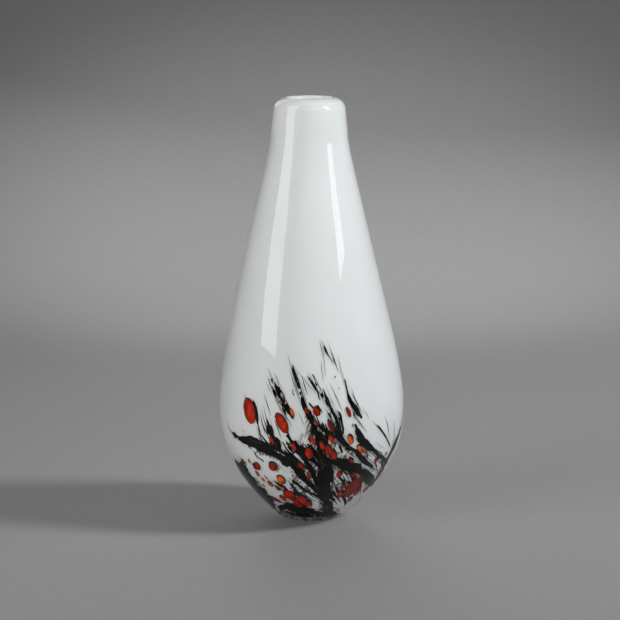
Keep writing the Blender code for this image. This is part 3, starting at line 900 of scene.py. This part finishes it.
def opal_glass(name, in_air):
    """White glass, glossy in the air; under the casing it carries thin threads of smoke."""
    rough, shine = (0.09, 0.5) if in_air else (0.5, 0.0)
    look = Look(
        name, Roughness=rough, IOR=1.5, Specular_IOR_Level=shine, Subsurface_Weight=0.6,
        Subsurface_Scale=0.006, Subsurface_Radius=(1.0, 0.95, 0.85),
    )
    clouds = look.noise(look.place((1, 1, 0.5)), 28.0, detail=3.0)
    white = look.ramp(clouds, ((0.25, (0.80, 0.815, 0.81)), (0.75, (0.865, 0.875, 0.87))))
    if in_air:
        return look.coloured(white)
    drawn = look.attribute("drawn", "Vector")
    streaky = look.noise(drawn, 560.0, detail=3.0, roughness=0.66)
    patchy = look.noise(drawn, 120.0, detail=2.0)
    near = look.attribute("stain")
    fine = look.noise(drawn, 1500.0, detail=2.0, roughness=0.6)
    both = look.math("ADD", streaky, look.math("MULTIPLY", fine, 0.45))
    dense = look.math("MULTIPLY", near, look.math("ADD", both, look.math("MULTIPLY", patchy, 0.45)))
    amount = look.ramp(dense, ((0.88, (0, 0, 0)), (0.985, (0.93, 0.93, 0.93))))
    smoke = look.ramp(fine, ((0.35, (0.030, 0.031, 0.026)), (0.65, (0.16, 0.13, 0.095))))
    return look.coloured(look.mix(amount, white, smoke))


def black_glass():
    look = Look("black_glass_flake", Roughness=0.45, IOR=1.5, Specular_IOR_Level=0.0)
    grain = look.noise(look.place((1, 1, 0.25), (0.35, 0.35, 0)), 420.0, detail=5.0, roughness=0.65)
    stops = ((0.56, (0.001,) * 3), (0.70, (0.007, 0.007, 0.006)), (0.82, (0.045, 0.046, 0.036)))
    veins = look.ramp(grain, stops)
    thin = look.ramp(look.attribute("edge"), ((0.0, (0.012, 0.011, 0.007)), (0.25, (0, 0, 0))))
    return look.coloured(look.mix(1.0, veins, thin, "ADD"))


def thread_glass():
    look = Look("black_glass_thread", Roughness=0.45, IOR=1.5, Specular_IOR_Level=0.0)
    grain = look.noise(look.place((1, 1, 0.3)), 160.0, detail=3.0)
    stops = ((0.35, (0.006,) * 3), (0.62, (0.05, 0.048, 0.036)), (0.8, (0.16, 0.16, 0.13)))
    return look.coloured(look.ramp(grain, stops))


def chip_glass(name, rim, body, painted_highlight, other):
    """Coloured glass, dark at the rim and lighter towards its middle, the lighter middle being a
    painted highlight; other tints the odd drops.
    """
    look = Look(name, Roughness=0.4, IOR=1.5, Specular_IOR_Level=0.0)
    grain = look.noise(look.place((1, 1, 0.3), (0.0, 0.4, 0.0)), 420.0, detail=4.0)
    patches = look.noise(look.place(), 95.0, detail=2.0)
    uneven = look.math("MULTIPLY", look.math("SUBTRACT", patches, 0.5), 0.9)
    inward = look.math("ADD", look.attribute("edge"), uneven)
    turned = look.ramp(look.attribute("tone"), ((0.45, (0, 0, 0)), (0.95, (1, 1, 1))))
    # from the dark rim through the body colour to a painted highlight in the middle
    deep = look.ramp(inward, ((0.0, rim), (0.09, body), (0.50, painted_highlight)))
    deep = look.mix(turned, deep, look.mix(1.0, deep, other, "MULTIPLY"))
    speck = look.ramp(grain, ((0.36, (0.35, 0.30, 0.30)), (0.56, (1.0, 1.0, 1.0))))
    return look.coloured(look.mix(1.0, deep, speck, "MULTIPLY"))


def floor_finish():
    look = Look("studio_paper", Roughness=0.62, Specular_IOR_Level=0.25)
    grain = look.noise(look.place(), 180.0, detail=4.0)
    return look.coloured(look.ramp(grain, ((0.3, (0.295, 0.294, 0.296)), (0.7, (0.313, 0.312, 0.314)))))


# ====== studio
AIM = Vector((0, 0, 0.17))
SHOULDER = (0, 0, 0.225)
FLAT_RADIUS, SWEEP_RADIUS, WALL_TOP = 0.95, 1.0, 2.9
SWEEP_SIDES, SWEEP_STEPS = 96, 32


def make_stage():
    """A round floor that sweeps up into a wall all the way round."""
    profile = [(0.0, 0.0), (0.30, 0.0), (FLAT_RADIUS, 0.0)]
    for k in range(1, SWEEP_STEPS + 1):
        turn = math.pi / 2 * k / SWEEP_STEPS
        rise = SWEEP_RADIUS - SWEEP_RADIUS * math.cos(turn)
        profile.append((FLAT_RADIUS + SWEEP_RADIUS * math.sin(turn), rise))
    profile.append((FLAT_RADIUS + SWEEP_RADIUS, WALL_TOP))
    bm = bmesh.new()
    points = [bm.verts.new((radius, 0, level)) for radius, level in profile]
    edges = [bm.edges.new(pair) for pair in zip(points, points[1:])]
    bmesh.ops.spin(
        bm, geom=points + edges, cent=(0, 0, 0), axis=(0, 0, 1), angle=2 * math.pi, steps=SWEEP_SIDES,
        use_merge=True,
    )
    bmesh.ops.remove_doubles(bm, verts=bm.verts, dist=1e-5)
    bmesh.ops.recalc_face_normals(bm, faces=bm.faces)
    mesh = bpy.data.meshes.new("studio_sweep")
    bm.to_mesh(mesh)
    bm.free()
    mesh.materials.append(floor_finish())
    mesh.shade_smooth()
    placed("studio_sweep", mesh)


def softbox(name, bearing, rise, distance, size, watts, roll=0.0, colour=(1, 1, 1)):
    """A rectangular light that faces the vase from a bearing (degrees to the right of the front)."""
    light = bpy.data.lights.new(name, "AREA")
    light.shape = "RECTANGLE"
    light.size, light.size_y = size
    light.energy = watts
    light.color = colour
    item = placed(name, light)
    a, b = math.radians(bearing), math.radians(rise)
    way = Vector((math.sin(a) * math.cos(b), -math.cos(a) * math.cos(b), math.sin(b)))
    item.location = AIM + distance * way
    facing = (AIM - item.location).to_track_quat("-Z", "Y").to_matrix().to_4x4()
    rolled = Matrix.Rotation(math.radians(roll), 4, "Z")
    item.matrix_world = Matrix.Translation(item.location) @ facing @ rolled
    return item


def spotlight(name, place, target, cone, watts, softness):
    """A soft edged light that reaches only a round patch about its target."""
    light = bpy.data.lights.new(name, "SPOT")
    light.spot_size, light.spot_blend = math.radians(cone), 1.0
    light.shadow_soft_size = softness
    light.energy = watts
    item = placed(name, light)
    item.location = place
    item.rotation_euler = (Vector(target) - item.location).to_track_quat("-Z", "Y").to_euler()
    return item


def make_lights():
    """Windows that only reflections show, lamps that no reflection shows, and a dim room."""
    windows = [
        softbox("window_left", -61.5, 30, 1.25, (0.63, 1.16), 10.0, roll=5, colour=(1.0, 0.985, 0.98)),
        softbox("strip_right", 59.5, 34, 1.15, (0.30, 0.82), 4.5, colour=(0.96, 0.985, 1.0)),
        softbox("window_back", 212, 30, 1.3, (0.60, 0.90), 2.4),
    ]
    lamps = [
        softbox("key_right", 82, 37, 1.6, (0.26, 0.26), 18.6, colour=(0.97, 0.985, 1.0)),
        softbox("fill_left", -58, 20, 1.35, (0.7, 0.5), 5.2, colour=(1.0, 0.985, 0.955)),
        softbox("fill_back", 172, 24, 1.35, (1.2, 0.5), 4.4),
        spotlight("fill_front", (-0.05, -1.25, 0.46), SHOULDER, 31, 50.0, 0.30),
        spotlight("fill_rear", (-0.17, 1.24, 0.46), SHOULDER, 31, 27.0, 0.30),
        spotlight("backdrop_glow", (0, -0.1, 2.0), (0, 1.15, 0.10), 32, 100.0, 0.08),
    ]
    for item in windows:
        item.visible_diffuse = False
    for item in lamps:
        item.visible_glossy = False
    for item in windows + lamps:
        item.visible_camera = False
    world = bpy.data.worlds.new("studio_air")
    world.use_nodes = True
    background = world.node_tree.nodes["Background"]
    background.inputs["Color"].default_value = (0.93, 0.96, 1.0, 1.0)
    background.inputs["Strength"].default_value = 0.04
    bpy.context.scene.world = world


def make_camera():
    camera = bpy.data.cameras.new("camera")
    camera.lens = 121.85
    camera.sensor_width = 36.0
    item = placed("camera", camera)
    item.location = (-0.0015, -1.5206, 0.4216)
    item.rotation_euler = (math.radians(90 - 9.99), 0, 0)
    bpy.context.scene.camera = item


# ====== the vase
def make_coloured_glass():
    black, thread = black_glass(), thread_glass()
    # each chip material gets rim, body, a painted highlight for the middle, and the tint of the odd
    # drops
    red = chip_glass(
        "red_glass_chip",
        (0.13, 0.003, 0.001), (0.42, 0.010, 0.002), (0.60, 0.028, 0.004), (0.50, 0.5, 0.8)
    )
    orange = chip_glass(
        "orange_glass_chip",
        (0.22, 0.012, 0.001), (0.60, 0.060, 0.004), (0.84, 0.17, 0.014), (0.6, 0.45, 0.7)
    )
    for seed, (name, (ragged, *route)) in enumerate(BLACK_STREAKS.items()):
        node = "black_" + name
        piece = make_streak(node + "_flake", ragged, route, black, 11 + 5 * seed)
        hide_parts(node)
    for colour, chips, material in (("red_", RED_CHIPS, red), ("orange_", ORANGE_CHIPS, orange)):
        for seed, (name, shape) in enumerate(chips.items()):
            node = colour + name
            piece = make_chips(node + "_drop", [shape], material, 301 + 7 * seed)
            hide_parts(node)
    make_chips("small_red_drops", SMALL_RED, red, 900)
    make_chips("small_orange_drops", SMALL_ORANGE, orange, 950)
    make_veil("torn_film_front", -88, 91, black, 700)
    make_veil("torn_film_back", 89, 273, black, 800)
    for side, seed, count, low, high in (("front", 4, 300, -90, 95), ("back", 5, 260, 96, 270)):
        name = "fine_threads_" + side
        routes = thread_routes(seed, count, low, high)
        under = count * 2 // 3
        make_threads(name, routes[:under], thread)
        make_threads(name + "_over", routes[under:], thread, lift=OVER_LIFT)
    rows = [np.reshape(row, (3, 3)) for row in HIGH_THREADS]
    make_threads("high_threads", rows, thread)
    # painted shade: dark crescents of black glass along one side of every chip
    shade_crescents = chip_shade_crescents([*RED_CHIPS.values(), *ORANGE_CHIPS.values(), *SMALL_RED, *SMALL_ORANGE], 8)
    make_threads("chip_shade_crescent_threads", shade_crescents, black, RIM_THICKNESS, RIM_LIFT)


def main():
    make_camera()
    make_stage()
    make_lights()
    make_opal(opal_glass("opal_under_casing", False), opal_glass("opal_inside", True))
    make_casing(clear_glass())
    make_coloured_glass()
    bpy.context.scene.view_settings.view_transform = "Standard"


main()
